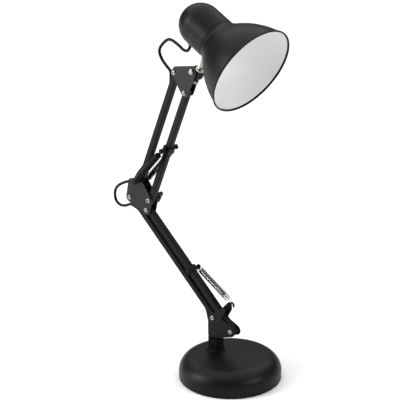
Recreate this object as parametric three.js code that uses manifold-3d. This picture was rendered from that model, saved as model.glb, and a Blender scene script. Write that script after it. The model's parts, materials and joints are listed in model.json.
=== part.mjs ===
// Swing arm desk lamp: weighted round base, two parallelogram arms with springs, tilting bell shade.
// Millimetres, +Z up. The arms swing in the XZ plane, the shade opens towards +X, and the origin is the
// middle of the base's underside.
import * as THREE from 'three';
import { mergeVertices } from 'three/addons/utils/BufferGeometryUtils.js';
import Module from 'manifold-3d';

const wasm = await Module();
wasm.setup();

// ---- driving dimensions ----
const GAP = 0.3; // running and seating clearance
const BASE_RADIUS = 80;
const BASE_HEIGHT = 36.2;
const BASE_FILLET = 24.5;
const COVER_WALL = 1.4;
const COLUMN_X = -31; // the arm stands behind the middle of the base
const COLLAR_FLATS = 24;
const COLLAR_TOP = 57.2;
const WEB_UNDERSIDE = 58.6; // underside of the lower bracket

const BAR = 9.8; // square tube
const BAR_WALL = 1.1;
const BAR_END = 5.5; // tube past its pivot
const PLATE_INNER = 5.6; // bracket cheeks, measured from the middle plane
const PLATE_WALL = 1.6;
const PLATE_OUTER = PLATE_INNER + PLATE_WALL;
const HEAD_FACE = 9.7; // outer face of the rivet heads
const PIN_RADIUS = 2.4;

const LOWER_LENGTH = 239.6;
const LOWER_LEAN = THREE.MathUtils.degToRad(-50.3);
const UPPER_LENGTH = 211;
const UPPER_LEAN = THREE.MathUtils.degToRad(23.2);
const HEAD_TILT = THREE.MathUtils.degToRad(26.5);

// Pivots as (x, z). Each parallelogram repeats its lower pair of pivots at its upper end.
const point = (x, z) => new THREE.Vector2(x, z);
const LOWER_STEP = point(38.4, -12.1);
const UPPER_STEP = point(-21.6, 27.9);
const lowerRear = point(COLUMN_X, 91.5);
const lowerFront = lowerRear.clone().add(LOWER_STEP);
const midRear = alongArm(lowerRear, LOWER_LEAN, LOWER_LENGTH);
const midFront = alongArm(lowerFront, LOWER_LEAN, LOWER_LENGTH);
const upperFront = midRear.clone().add(point(43.9, 5.2));
const upperRear = upperFront.clone().add(UPPER_STEP);
const headFront = alongArm(upperFront, UPPER_LEAN, UPPER_LENGTH);
const headRear = alongArm(upperRear, UPPER_LEAN, UPPER_LENGTH);
const tiltPivot = headRear.clone().add(point(37.8, 8.5));

const KNOB_TURN = 0.5; // how the wing knob stands, radians
const LOWER_CLIP = 119; // spring clip, from the lower pivot of its bar
const UPPER_CLIP = 102;
const CLIP_REACH = 18.4; // half the length of a clip's cross pin
const SPRING_SIDE = 14.6; // springs stand this far either side of the middle plane
const SLOT_CENTRE = 24; // lead slots, from the pivot
const SLOT_LENGTH = 26;
const LEAD_RADIUS = 2.3;
const LEAD_STEP = 9;
const HOOK = point(-1.5, 118.5); // eye of the lower spring hooks

const RIM_CENTRE = new THREE.Vector3(42.2, 0, 502.4);
const RIM_RADIUS = 71.1;
const NECK_BACK = 75; // from the rim plane back to the neck
const CAP_RADIUS = 33;
const CAP_DOME = 112; // centre of the rounded end
const CAP_END = 146;
const GLAND_BACK = 117; // cable gland, on the underside of the cap
const SWIVEL_BACK = 84.15; // swivel axis of the head, in the head's own frame
const SWIVEL_DROP = 65.9;
const TILT_BACK = 8.2; // tilt pin, from the swivel axis
const TILT_DROP = 5.08;
const STRAP_RIVET = 98; // from the rim plane

// ---- materials ----
const finish = (color, roughness, metalness) => new THREE.MeshStandardMaterial({ color, roughness, metalness });
const satinBlack = finish(0x1b1b1c, 0.45, 0.1);
const blackPlastic = finish(0x141415, 0.5, 0);
const blackRubber = finish(0x121212, 0.7, 0);
const nickel = finish(0xc9c7c0, 0.28, 1);
const castIron = finish(0x3a3a3a, 0.8, 0.6);
const brass = finish(0xb99a4a, 0.35, 1);
const clearPlastic = finish(0xd9dcdc, 0.15, 0);

// ---- helpers ----
function alongArm(start, lean, distance, offset = 0) {
  const x = start.x + distance * Math.sin(lean) + offset * Math.cos(lean);
  return point(x, start.y + distance * Math.cos(lean) - offset * Math.sin(lean));
}

function manifoldOf(geometry) {
  const bare = geometry.clone();
  bare.deleteAttribute('normal');
  bare.deleteAttribute('uv');
  const merged = mergeVertices(bare, 1e-4);
  const corners = merged.index.array;
  const triangles = [];
  for (let i = 0; i < corners.length; i += 3) {
    const [a, b, c] = corners.slice(i, i + 3);
    if (a !== b && b !== c && c !== a) triangles.push(a, b, c);
  }
  return new wasm.Manifold(new wasm.Mesh({
    numProp: 3,
    vertProperties: new Float32Array(merged.attributes.position.array),
    triVerts: new Uint32Array(triangles),
  }));
}

function geometryOf(solid) {
  const mesh = solid.getMesh();
  const geometry = new THREE.BufferGeometry();
  geometry.setAttribute('position', new THREE.BufferAttribute(mesh.vertProperties, 3));
  geometry.setIndex(new THREE.BufferAttribute(mesh.triVerts, 1));
  geometry.computeVertexNormals();
  return geometry;
}

const joined = (first, ...rest) =>
  geometryOf(rest.reduce((solid, next) => solid.add(manifoldOf(next)), manifoldOf(first)));
const cut = (first, ...rest) =>
  geometryOf(rest.reduce((solid, next) => solid.subtract(manifoldOf(next)), manifoldOf(first)));
const common = (first, second) => geometryOf(manifoldOf(first).intersect(manifoldOf(second)));

// A flat outline in the XZ plane, thickened from y = from to y = to.
function slab(shape, from, to, curveSegments = 5) {
  const depth = to - from;
  const geometry = new THREE.ExtrudeGeometry(shape, { depth, bevelEnabled: false, curveSegments });
  return geometry.rotateX(Math.PI / 2).translate(0, to, 0);
}

// A convex outline of rounded corners, each [x, z, radius], taken anticlockwise.
function lug(corners) {
  const leaving = corners.map(([x, z, r], i) => {
    const [nx, nz, nr] = corners[(i + 1) % corners.length];
    return Math.atan2(nz - z, nx - x) - Math.acos((r - nr) / Math.hypot(nx - x, nz - z));
  });
  const shape = new THREE.Shape();
  corners.forEach(([x, z, r], i) => {
    const start = leaving[(i + corners.length - 1) % corners.length];
    shape.absarc(x, z, r, start, leaving[i], false);
  });
  shape.closePath();
  return shape;
}

const disc = (centre, radius) => new THREE.Shape().absarc(centre.x, centre.y, radius, 0, 2 * Math.PI, false);
const corner = (at, radius) => [at.x, at.y, radius];
const box = (x0, x1, y0, y1, z0, z1) =>
  new THREE.BoxGeometry(x1 - x0, y1 - y0, z1 - z0).translate((x0 + x1) / 2, (y0 + y1) / 2, (z0 + z1) / 2);

// Turned pieces, from a profile of [radius, distance along the axis].
function turned(profile, segments) {
  return new THREE.LatheGeometry(profile.map(([r, h]) => new THREE.Vector2(r, h)), segments);
}
const turnedY = (profile, at, segments = 14) => turned(profile, segments).translate(at.x, 0, at.y);
const turnedZ = (profile, x = 0, segments = 18) =>
  turned(profile, segments).rotateX(Math.PI / 2).translate(x, 0, 0);
const turnedX = (profile, segments = 48) => turned(profile, segments).rotateZ(-Math.PI / 2);

// A quarter-round run of profile points.
function arcPoints(r0, h0, radius, from, to, count) {
  return Array.from({ length: count + 1 }, (_, i) => {
    const angle = from + ((to - from) * i) / count;
    return [r0 + radius * Math.cos(angle), h0 + radius * Math.sin(angle)];
  });
}

// A round rod bent along a list of points.
function rod(points, radius, steps, sides) {
  const section = new THREE.Shape();
  for (let i = 0; i < sides; i += 1) {
    const angle = (2 * Math.PI * i) / sides;
    const move = i === 0 ? 'moveTo' : 'lineTo';
    section[move](radius * Math.cos(angle), radius * Math.sin(angle));
  }
  section.closePath();
  const extrudePath = new THREE.CatmullRomCurve3(points, false, 'centripetal');
  return new THREE.ExtrudeGeometry(section, { steps, bevelEnabled: false, extrudePath });
}

const lamp = new THREE.Group();
const framed = (x, z, turn) => {
  const frame = new THREE.Group();
  frame.position.set(x, 0, z);
  frame.rotation.y = turn;
  lamp.add(frame);
  return frame;
};
function add(name, geometry, material, parent = lamp) {
  const mesh = new THREE.Mesh(geometryOf(manifoldOf(geometry)), material);
  mesh.name = name;
  parent.add(mesh);
}

// ---- base ----
{
  const outer = BASE_RADIUS - BASE_FILLET;
  const shoulder = BASE_HEIGHT - BASE_FILLET;
  const inner = BASE_FILLET - COVER_WALL;
  const shell = turnedZ([
    [0, BASE_HEIGHT - COVER_WALL],
    ...arcPoints(outer, shoulder, inner, Math.PI / 2, 0, 5),
    [BASE_RADIUS - COVER_WALL, 0.8],
    [BASE_RADIUS, 0.8],
    ...arcPoints(outer, shoulder, BASE_FILLET, 0, Math.PI / 2, 7),
    [0, BASE_HEIGHT],
  ], 0, 44);
  const hole = turnedZ([[0, 0], [8.3, 0], [8.3, 50], [0, 50]], COLUMN_X);
  add('base_cover', cut(shell, hole), satinBlack);

  const weight = turnedZ([[0, 2.3], [78, 2.3], [78, 14.3], [0, 14.3]], 0, 36);
  const nutPocket = turnedZ([[0, 0], [15.5, 0], [15.5, 8.3], [0, 8.3]], COLUMN_X);
  add('base_weight', cut(weight, hole, nutPocket), castIron);
  add('base_pad', turnedZ([[0, 0], [77.5, 0], [77.5, 2], [0, 2]], 0, 36), blackRubber);

  // Hexagonal socket with a corner to the front, its flange on the cover and its threaded stem below.
  const hexRadius = COLLAR_FLATS / Math.sqrt(3);
  const hex = new THREE.CylinderGeometry(hexRadius, hexRadius, 40, 6).rotateX(Math.PI / 2);
  hex.rotateZ(-Math.PI / 12).translate(COLUMN_X, 0, BASE_HEIGHT + 10);
  const flare = turnedZ([
    [0, BASE_HEIGHT + GAP], [hexRadius, BASE_HEIGHT + GAP], [hexRadius, COLLAR_TOP - 1.5],
    [hexRadius - 1.5, COLLAR_TOP], [0, COLLAR_TOP],
  ], COLUMN_X, 36);
  const flange = turnedZ([
    [0, BASE_HEIGHT + GAP], [hexRadius + 0.8, BASE_HEIGHT + GAP], [hexRadius + 0.8, BASE_HEIGHT + 1.4],
    [hexRadius - 0.4, BASE_HEIGHT + 2.6], [0, BASE_HEIGHT + 2.6],
  ], COLUMN_X, 36);
  const stem = turnedZ([[0, 3.2], [8, 3.2], [8, BASE_HEIGHT + 1], [0, BASE_HEIGHT + 1]], COLUMN_X);
  const bore = turnedZ([[0, 0], [5.3, 0], [5.3, 70], [0, 70]], COLUMN_X);
  const socket = joined(common(hex, flare), flange, stem);
  add('base_collar', cut(socket, bore), satinBlack);

  const nut = new THREE.CylinderGeometry(13.8, 13.8, 4.6, 6).rotateX(Math.PI / 2).translate(COLUMN_X, 0, 5.7);
  add('collar_nut', cut(nut, hole), nickel);
}

// ---- pins ----
// A rivet across a bracket: shank, and a low domed head outside each cheek.
function rivetProfile(shank, head, face = HEAD_FACE) {
  const seat = PLATE_OUTER + GAP;
  const crown = face - seat;
  const half = [
    [0, face], [head * 0.6, face - crown * 0.15], [head, seat + crown * 0.3], [head, seat], [shank, seat],
  ];
  return [...half.map(([r, h]) => [r, -h]), ...half.toReversed()];
}
const pinHole = (at, radius = PIN_RADIUS + GAP, reach = 12) =>
  turnedY([[0, -reach], [radius, -reach], [radius, reach], [0, reach]], at, 12);

// ---- lower bracket ----
{
  const cheek = lug([
    corner(lowerRear, 10),
    [COLUMN_X - 7.5, WEB_UNDERSIDE + 2.5, 2.5],
    [COLUMN_X + 5, WEB_UNDERSIDE + 4, 4],
    corner(lowerFront, 8),
  ]);
  const ear = lug([[-18, 100, 8], [-6.5, 115.5, 6]]);
  const slit = new THREE.Shape([point(-2.9, 106), point(0.3, 106), point(0.3, 118.5), point(-2.9, 118.5)]);
  const shoulder = lug([[-20, 98, 8], [-7.5, 111.5, 3.5]]);
  const nearSide = joined(
    slab(cheek, -PLATE_OUTER, -PLATE_INNER),
    slab(shoulder, -PLATE_OUTER, -PLATE_INNER),
  );
  const farSide = joined(
    slab(cheek, PLATE_INNER, PLATE_OUTER),
    slab(ear, PLATE_INNER, PLATE_OUTER),
    slab(disc(HOOK, 4.8), PLATE_INNER, PLATE_OUTER),
  );
  const webTop = WEB_UNDERSIDE + PLATE_WALL;
  const web = box(COLUMN_X - 8, COLUMN_X + 9, -PLATE_OUTER, PLATE_OUTER, WEB_UNDERSIDE, webTop);
  const folded = joined(nearSide, farSide, web);
  const spindleHole = turnedZ([[0, 50], [4.3, 50], [4.3, 70], [0, 70]], COLUMN_X);
  add('lower_bracket', cut(
    folded,
    slab(disc(HOOK, 2), 0, 10),
    slab(slit, 0, 10),
    pinHole(lowerRear),
    pinHole(lowerFront),
    spindleHole,
  ), satinBlack);

  // Hollow spindle, riveted over inside the bracket and running down through the socket.
  const top = WEB_UNDERSIDE + PLATE_WALL + GAP;
  add('swivel_spindle', turnedZ([
    [3.1, 6], [5, 6], [5, WEB_UNDERSIDE - GAP], [4, WEB_UNDERSIDE - GAP], [4, top],
    [5.4, top], [5, top + 1.8], [3.1, top + 1.8], [3.1, 6],
  ], COLUMN_X, 24), nickel);
  add('lower_rear_rivet', turnedY(rivetProfile(PIN_RADIUS, 4.2), lowerRear), nickel);
  add('lower_front_rivet', turnedY(rivetProfile(PIN_RADIUS, 4.2), lowerFront), nickel);
}

// ---- arms ----
// A square tube along Z from pivot to pivot, with its pin holes, and with lead slots or a clip hole.
function barGeometry(length, { slots = false, clipAt = null }) {
  const half = BAR / 2;
  const bore = half - BAR_WALL;
  const shape = lug([[1.3 - half, 1.3 - half, 1.3], [half - 1.3, 1.3 - half, 1.3],
    [half - 1.3, half - 1.3, 1.3], [1.3 - half, half - 1.3, 1.3]]);
  const inside = [point(-bore, -bore), point(-bore, bore), point(bore, bore), point(bore, -bore)];
  shape.holes.push(new THREE.Path(inside));
  const depth = length + 2 * BAR_END;
  const tube = new THREE.ExtrudeGeometry(shape, { depth, bevelEnabled: false, curveSegments: 2 });
  tube.translate(0, 0, -BAR_END);
  const tools = [pinHole(point(0, 0)), pinHole(point(0, length))];
  if (clipAt !== null) tools.push(pinHole(point(0, clipAt), 3));
  if (slots) {
    for (const at of [SLOT_CENTRE, length - SLOT_CENTRE]) {
      tools.push(box(-half - 1, -half + BAR_WALL + 0.5, -2.9, 2.9, at - SLOT_LENGTH / 2, at + SLOT_LENGTH / 2));
    }
  }
  return cut(tube, ...tools);
}

// A plastic saddle round a bar, with a collared pin across it that holds a spring on one side or on both.
function clipGeometry(bothSides) {
  const saddle = cut(
    box(-6.6, 6.6, -6.6, 6.6, -5, 5),
    box(-BAR / 2 - GAP, BAR / 2 + GAP, -BAR / 2 - GAP, BAR / 2 + GAP, -6, 6),
  );
  const half = [[0, CLIP_REACH], [3, CLIP_REACH], [4.2, CLIP_REACH - 1.2], [4.2, CLIP_REACH - 2.6],
    [2.3, CLIP_REACH - 2.6], [2.3, 12.4], [4, 11.4], [4, 6], [2.7, 5.4]];
  const stub = [[0, -8], [3.4, -8], [4, -7.4], [4, -6], [2.7, -5.4]];
  const nearEnd = bothSides ? half.map(([r, h]) => [r, -h]) : stub;
  return joined(saddle, turnedY([...nearEnd, ...half.toReversed()], point(0, 0), 12));
}

const lowerRearFrame = framed(lowerRear.x, lowerRear.y, LOWER_LEAN);
const lowerFrontFrame = framed(lowerFront.x, lowerFront.y, LOWER_LEAN);
const upperRearFrame = framed(upperRear.x, upperRear.y, UPPER_LEAN);
const upperFrontFrame = framed(upperFront.x, upperFront.y, UPPER_LEAN);
add('lower_rear_bar', barGeometry(LOWER_LENGTH, { slots: true }), satinBlack, lowerRearFrame);
add('lower_front_bar', barGeometry(LOWER_LENGTH, { clipAt: LOWER_CLIP }), satinBlack, lowerFrontFrame);
add('upper_rear_bar', barGeometry(UPPER_LENGTH, { slots: true }), satinBlack, upperRearFrame);
add('upper_front_bar', barGeometry(UPPER_LENGTH, { clipAt: UPPER_CLIP }), satinBlack, upperFrontFrame);
add('lower_spring_clip', clipGeometry(false).translate(0, 0, LOWER_CLIP), blackPlastic, lowerFrontFrame);
add('upper_spring_clip', clipGeometry(true).translate(0, 0, UPPER_CLIP), blackPlastic, upperFrontFrame);

// ---- springs ----
const WIRE = 0.6;
const COIL_RADIUS = 3.1;
const SLEEVE_RADIUS = 5;
const COIL_PITCH = 5;
const HOOK_RADIUS = 3.7;

// A spring on the line between two ends. It starts with a hook round a pin that lies along Y, and it finishes
// with a second such hook, or with the given points where it is threaded through an eye.
function springGeometry(from, to, coilFrom, coilTo, threaded = []) {
  const axis = to.clone().sub(from);
  const length = axis.length();
  axis.normalize();
  const across = new THREE.Vector3(0, 1, 0).cross(axis).normalize();
  const side = axis.clone().cross(across);
  const at = (along, u, v = 0) =>
    from.clone().addScaledVector(axis, along).addScaledVector(across, u).addScaledVector(side, v);
  const hookAngles = [0, 1, 2, 3, 4, 5, 6].map((i) => (i * 1.2 * Math.PI) / 6);
  const points = hookAngles.toReversed().map((a) => at(HOOK_RADIUS * Math.cos(a), HOOK_RADIUS * Math.sin(a)));
  const turns = Math.round((coilTo - coilFrom) / COIL_PITCH);
  const perTurn = 6;
  for (let i = 0; i <= turns * perTurn; i += 1) {
    const angle = (2 * Math.PI * i) / perTurn;
    const along = coilFrom + ((coilTo - coilFrom) * i) / (turns * perTurn);
    points.push(at(along, COIL_RADIUS * Math.cos(angle), COIL_RADIUS * Math.sin(angle)));
  }
  if (threaded.length > 0) points.push(at(coilTo + 4, 0), ...threaded);
  else {
    points.push(...hookAngles.map((a) => at(length - HOOK_RADIUS * Math.cos(a), -HOOK_RADIUS * Math.sin(a))));
  }
  return rod(points, WIRE, points.length + 6, 4);
}

// A thin tube over the coil.
function sleeveGeometry(from, to, start, end) {
  const profile = [[SLEEVE_RADIUS - 0.7, start], [SLEEVE_RADIUS, start], [SLEEVE_RADIUS, end],
    [SLEEVE_RADIUS - 0.7, end], [SLEEVE_RADIUS - 0.7, start]];
  const axis = to.clone().sub(from).normalize();
  const turn = new THREE.Quaternion().setFromUnitVectors(new THREE.Vector3(0, 1, 0), axis);
  return turned(profile, 12).applyQuaternion(turn).translate(from.x, from.y, from.z);
}

// The lower arm has one spring, on the far side. The upper arm has one on each side.
const lowerClip = alongArm(lowerFront, LOWER_LEAN, LOWER_CLIP);
const clipEnd = new THREE.Vector3(lowerClip.x, SPRING_SIDE, lowerClip.y);
const hookEnd = new THREE.Vector3(HOOK.x, PLATE_OUTER + 1.4, HOOK.y);
const tip = [hookEnd, new THREE.Vector3(HOOK.x, PLATE_INNER + 0.2, HOOK.y)];
add('lower_spring', springGeometry(clipEnd, hookEnd, 8, 68, tip), nickel);
add('lower_spring_sleeve', sleeveGeometry(clipEnd, hookEnd, 5, 77), clearPlastic);

const upperClip = alongArm(upperFront, UPPER_LEAN, UPPER_CLIP);
for (const [label, sign, sleeve] of [['near', -1, blackPlastic], ['far', 1, clearPlastic]]) {
  const pinEnd = new THREE.Vector3(upperRear.x, sign * SPRING_SIDE, upperRear.y);
  const topEnd = new THREE.Vector3(upperClip.x, sign * SPRING_SIDE, upperClip.y);
  add(`upper_spring_${label}`, springGeometry(pinEnd, topEnd, 8, 78), nickel);
  add(`upper_spring_sleeve_${label}`, sleeveGeometry(pinEnd, topEnd, 5, 79), sleeve);
}

// ---- middle bracket ----
{
  const cheek = lug([
    corner(midFront, 8),
    corner(upperFront, 6.8),
    corner(upperRear, 6),
    [upperRear.x - 18.6, upperRear.y - 6.4, 6],
    corner(midRear, 8),
  ]);
  const plate = (y) => cut(
    slab(cheek, y, y + PLATE_WALL),
    pinHole(midRear), pinHole(midFront), pinHole(upperRear), pinHole(upperFront),
  );
  add('mid_plate_near', plate(-PLATE_OUTER), satinBlack);
  add('mid_plate_far', plate(PLATE_INNER), satinBlack);
  const middle = midRear.clone().add(midFront).add(upperFront).add(upperRear).multiplyScalar(0.25);
  const reach = PLATE_INNER - GAP;
  const spacer = turnedY([[0, -reach], [4, -reach], [4, reach], [0, reach]], middle.add(point(-6, 2)));
  add('mid_spacer', spacer, nickel);
  add('mid_rear_rivet', turnedY(rivetProfile(PIN_RADIUS, 4.2), midRear), nickel);
  add('mid_front_rivet', turnedY(rivetProfile(PIN_RADIUS, 4.2), midFront), nickel);

  // Long pin that also carries the lower ends of the upper springs.
  const half = [[0, CLIP_REACH], [3.4, CLIP_REACH], [4.4, CLIP_REACH - 1], [4.4, CLIP_REACH - 2.6],
    [2.4, CLIP_REACH - 2.6], [2.4, 12.2], [3.2, 11.8], [3.2, PLATE_OUTER + GAP], [PIN_RADIUS, PLATE_OUTER + GAP]];
  const pin = turnedY([...half.map(([r, h]) => [r, -h]), ...half.toReversed()], upperRear);
  add('upper_rear_pin', pin, satinBlack);

  // Clamping bolt and its wing nut on the far side.
  const seat = PLATE_OUTER + GAP;
  add('upper_front_bolt', turnedY([
    [0, 1.6 - HEAD_FACE], [1.7, 1.2 - HEAD_FACE], [2.1, -HEAD_FACE], [3.4, 0.3 - HEAD_FACE], [4.2, -seat - 0.6],
    [4.2, -seat], [PIN_RADIUS, -seat], [PIN_RADIUS, 19.5], [0, 19.5],
  ], upperFront), nickel);
  const hub = turnedY([[0, seat], [5.4, seat], [4.8, 14.5], [0, 14.5]], upperFront);
  const blades = [-1, 1].map((way) => {
    const corners = [[-1, way * 2, 1.6], [1, way * 2, 1.6], [1.2, way * 8.6, 2.4], [-1.2, way * 8.6, 2.4]];
    const lobe = slab(lug(corners.sort((a, b) => way * (a[0] - b[0]))), 9.5, 20);
    return lobe.rotateY(KNOB_TURN).translate(upperFront.x, 0, upperFront.y);
  });
  add('mid_knob', cut(joined(hub, ...blades), pinHole(upperFront, PIN_RADIUS + GAP, 30)), blackPlastic);
}

// ---- head bracket ----
{
  const plate = (cheek, y) => cut(
    slab(cheek, y, y + PLATE_WALL),
    pinHole(headRear), pinHole(headFront), pinHole(tiltPivot, 3),
  );
  const near = lug([
    corner(headRear, 5.6),
    corner(headFront, 6.6),
    corner(tiltPivot, 8.8),
    [headRear.x + 2, headRear.y + 7.9, 2],
  ]);
  const far = lug([corner(headRear, 5.6), corner(headFront, 6.6), corner(tiltPivot, 6)]);
  add('head_plate_near', plate(near, -PLATE_OUTER), satinBlack);
  add('head_plate_far', plate(far, PLATE_INNER), satinBlack);
  add('head_rear_rivet', turnedY(rivetProfile(PIN_RADIUS, 4.2), headRear), nickel);
  add('head_front_rivet', turnedY(rivetProfile(PIN_RADIUS, 4.2), headFront), nickel);

  const seat = PLATE_OUTER + GAP;
  const face = -HEAD_FACE - 0.3;
  const bolt = turnedY([
    [0, face], [3.4, face + 0.2], [4.6, face + 1], [4.6, -seat], [2.7, -seat], [2.7, 11.5], [0, 11.5],
  ], tiltPivot);
  const slot = box(-5, 5, face - 1, face + 0.9, -0.6, 0.6).rotateY(0.9).translate(tiltPivot.x, 0, tiltPivot.y);
  add('tilt_bolt', cut(bolt, slot), nickel);
  const nut = new THREE.CylinderGeometry(5, 5, 3, 6).translate(tiltPivot.x, seat + 1.5, tiltPivot.y);
  add('tilt_nut', cut(nut, pinHole(tiltPivot, 3, 20)), nickel);
}

// ---- head, in its own frame: origin at the rim's centre, +X out of the shade, +Z up across it ----
const head = new THREE.Group();
head.position.copy(RIM_CENTRE);
head.rotation.y = HEAD_TILT;
lamp.add(head);
const headZ = (profile, x, segments = 20) => turnedZ(profile, x, segments);
{
  const pin = point(-SWIVEL_BACK - TILT_BACK, -SWIVEL_DROP - TILT_DROP);
  const top = -SWIVEL_DROP + 2.4;
  const foot = -SWIVEL_DROP - 16.6;
  const width = PLATE_INNER - GAP;

  // Block that tilts between the head bracket's cheeks and carries the upright stud.
  const outline = lug([
    corner(pin, 7.6),
    [-SWIVEL_BACK + 0.5, foot + 3, 3],
    [-SWIVEL_BACK + 3, foot + 8, 3],
    [-SWIVEL_BACK + 4.5, top - 1.5, 1.5],
    [-SWIVEL_BACK - 6, top - 1.5, 1.5],
  ]);
  const studHole = headZ([[0, foot - 2], [2.8, foot - 2], [2.8, top + 2], [0, top + 2]], -SWIVEL_BACK);
  add('tilt_block', cut(slab(outline, -width, width), pinHole(pin, 3), studHole), blackPlastic, head);
  add('swivel_stud', headZ([
    [0, foot - 6.5], [2, foot - 6.5], [2.5, foot - 6], [2.5, top + 0.8], [0, top + 0.8],
  ], -SWIVEL_BACK), nickel, head);
  const nut = new THREE.CylinderGeometry(4.6, 4.6, 3.6, 6).rotateX(Math.PI / 2);
  nut.translate(-SWIVEL_BACK, 0, foot - GAP - 1.8);
  const nutHole = headZ([[0, foot - 9], [2.8, foot - 9], [2.8, foot], [0, foot]], -SWIVEL_BACK);
  add('swivel_nut', cut(nut, nutHole), nickel, head);

  // Strap: round foot on the block, a flat tongue, and a saddle that hugs the cap.
  const seat = top + GAP;
  const plate = headZ([
    [0, seat], [6.8, seat], [7.2, seat + 0.4], [7.2, seat + 1.6], [6.8, seat + 2], [0, seat + 2],
  ], -SWIVEL_BACK, 28);
  const well = headZ([[0, seat - 2], [2.8, seat - 2], [2.8, seat + 0.9], [0, seat + 0.9]], -SWIVEL_BACK);
  const tongueTop = -CAP_RADIUS - 0.8;
  const tongue = slab(new THREE.Shape([
    point(-SWIVEL_BACK - 2, seat + 1), point(-SWIVEL_BACK + 1, seat + 1),
    point(-SWIVEL_BACK - 3.4, tongueTop), point(-SWIVEL_BACK - 6.4, tongueTop),
  ]), -4.6, 4.6);
  const ring = turnedX([[CAP_RADIUS + GAP, -103], [CAP_RADIUS + 1.7, -103], [CAP_RADIUS + 1.7, -83],
    [CAP_RADIUS + GAP, -83], [CAP_RADIUS + GAP, -103]], 40);
  const saddle = common(ring, box(-105, -70, -8, 8, -50, -20));
  const eye = turnedX([[0, -100], [1.5, -100], [1.5, -60], [0, -60]], 12).translate(0, 0, seat + 4.6);
  const rivetHole = headZ([[0, -50], [2, -50], [2, -20], [0, -20]], -STRAP_RIVET);
  add('head_strap', cut(joined(cut(plate, well), tongue, saddle), eye, rivetHole), nickel, head);
  add('strap_rivet', headZ([
    [0, -CAP_RADIUS - 3.6], [2.4, -CAP_RADIUS - 3.2], [3.2, -CAP_RADIUS - 2], [1.7, -CAP_RADIUS - 2],
    [1.7, -CAP_RADIUS + 2.2], [3, -CAP_RADIUS + 2.2], [2.6, -CAP_RADIUS + 3.4], [0, -CAP_RADIUS + 3.4],
  ], -STRAP_RIVET), nickel, head);

  // Socket cap: a plain cup with a rounded end.
  const wall = 1.5;
  const depth = CAP_END - CAP_DOME;
  const domeRadius = 33.2;
  const dome = (radius, reach) => Array.from({ length: 7 }, (_, i) => {
    const angle = (Math.PI / 2) * (i / 6);
    return [radius * Math.cos(angle), -CAP_DOME - reach * Math.sin(angle)];
  });
  const mouth = -NECK_BACK - 1.6;
  const cup = turnedX([
    ...dome(domeRadius - 0.4, depth).toReversed(),
    [CAP_RADIUS, mouth - 1], [CAP_RADIUS - 0.6, mouth], [CAP_RADIUS - wall, mouth],
    ...dome(domeRadius - wall - 0.4, depth - wall),
  ], 36);
  const glandHole = headZ([[0, -45], [3.9, -45], [3.9, -20], [0, -20]], -GLAND_BACK, 16);
  add('socket_cap', cut(cup, rivetHole, glandHole), satinBlack, head);
  add('cord_grommet', headZ([
    [2.8, -41], [3.6, -41], [4.2, -40], [5, -35], [5, -34], [3.6, -34], [3.6, -30], [4.6, -29.6], [4.2, -27.5],
    [2.8, -27.5], [2.8, -41],
  ], -GLAND_BACK, 18), blackRubber, head);

  // Bell shade, a spun shell from the rolled rim to the in-turned neck.
  const bell = new THREE.SplineCurve([
    [RIM_RADIUS, 0], [69.6, -6], [67.8, -12], [65.1, -20], [61.5, -28], [57.6, -36], [52.9, -44], [47.3, -52],
    [41.1, -60], [35.5, -68], [33, -NECK_BACK],
  ].map(([r, h]) => new THREE.Vector2(r, h)));
  const sheet = 1.1;
  const outside = bell.getPoints(11).map((p) => [p.x, p.y]);
  const inside = bell.getPoints(11).map((p, i) => {
    const along = bell.getTangent(i / 11);
    return [p.x + along.y * sheet, p.y - along.x * sheet];
  });
  const flangeHole = 20.4;
  inside[0][1] = 0.4;
  const shell = turnedX([
    ...outside.toReversed(), [RIM_RADIUS + 1.1, 0.5], [RIM_RADIUS + 0.7, 2], [RIM_RADIUS - 1, 2.1],
    ...inside.slice(0, 11), [32, -NECK_BACK + sheet], [flangeHole, -NECK_BACK + sheet], [flangeHole, -NECK_BACK],
    [33, -NECK_BACK],
  ].filter(([r, h], i, all) => i === 0 || Math.hypot(r - all[i - 1][0], h - all[i - 1][1]) > 1e-3), 44);
  add('lamp_shade', shell, satinBlack, head);

  // Lampholder through the neck, with a shoulder behind it and a ring nut in front.
  const back = -NECK_BACK - GAP;
  add('lampholder', turnedX([
    [0, -112], [20, -112], [24, -108], [24, back], [20, back], [20, -62], [14, -62], [14, -98], [0, -98],
  ], 28), blackPlastic, head);
  add('shade_ring', turnedX([
    [20.3, -NECK_BACK + sheet + GAP], [26, -NECK_BACK + sheet + GAP], [26, -68], [20.3, -68],
    [20.3, -NECK_BACK + sheet + GAP],
  ], 28), blackPlastic, head);
  add('holder_contact', turnedX([[0, -97.7], [5, -97.7], [5, -96.2], [2, -94.8], [0, -94.8]], 20), brass, head);
}

// ---- lead ----
// Cable routes, as (x, z) in the middle plane. Inside a bar it lies on the bar's axis and leaves by a slot.
const leadGeometry = (points) => {
  const path = points.map((p) => new THREE.Vector3(p.x, 0, p.y));
  const length = new THREE.CatmullRomCurve3(path, false, 'centripetal').getLength();
  return rod(path, LEAD_RADIUS, Math.max(4, Math.round(length / LEAD_STEP)), 8);
};
const inBar = (pivot, lean, length) => [
  [SLOT_CENTRE, -5.2], [SLOT_CENTRE + 8, -2], [SLOT_CENTRE + 18, 0], [length / 2, 0],
  [length - SLOT_CENTRE - 18, 0],
  [length - SLOT_CENTRE - 8, -2], [length - SLOT_CENTRE, -5.2],
].map(([along, offset]) => alongArm(pivot, lean, along, offset));

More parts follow.
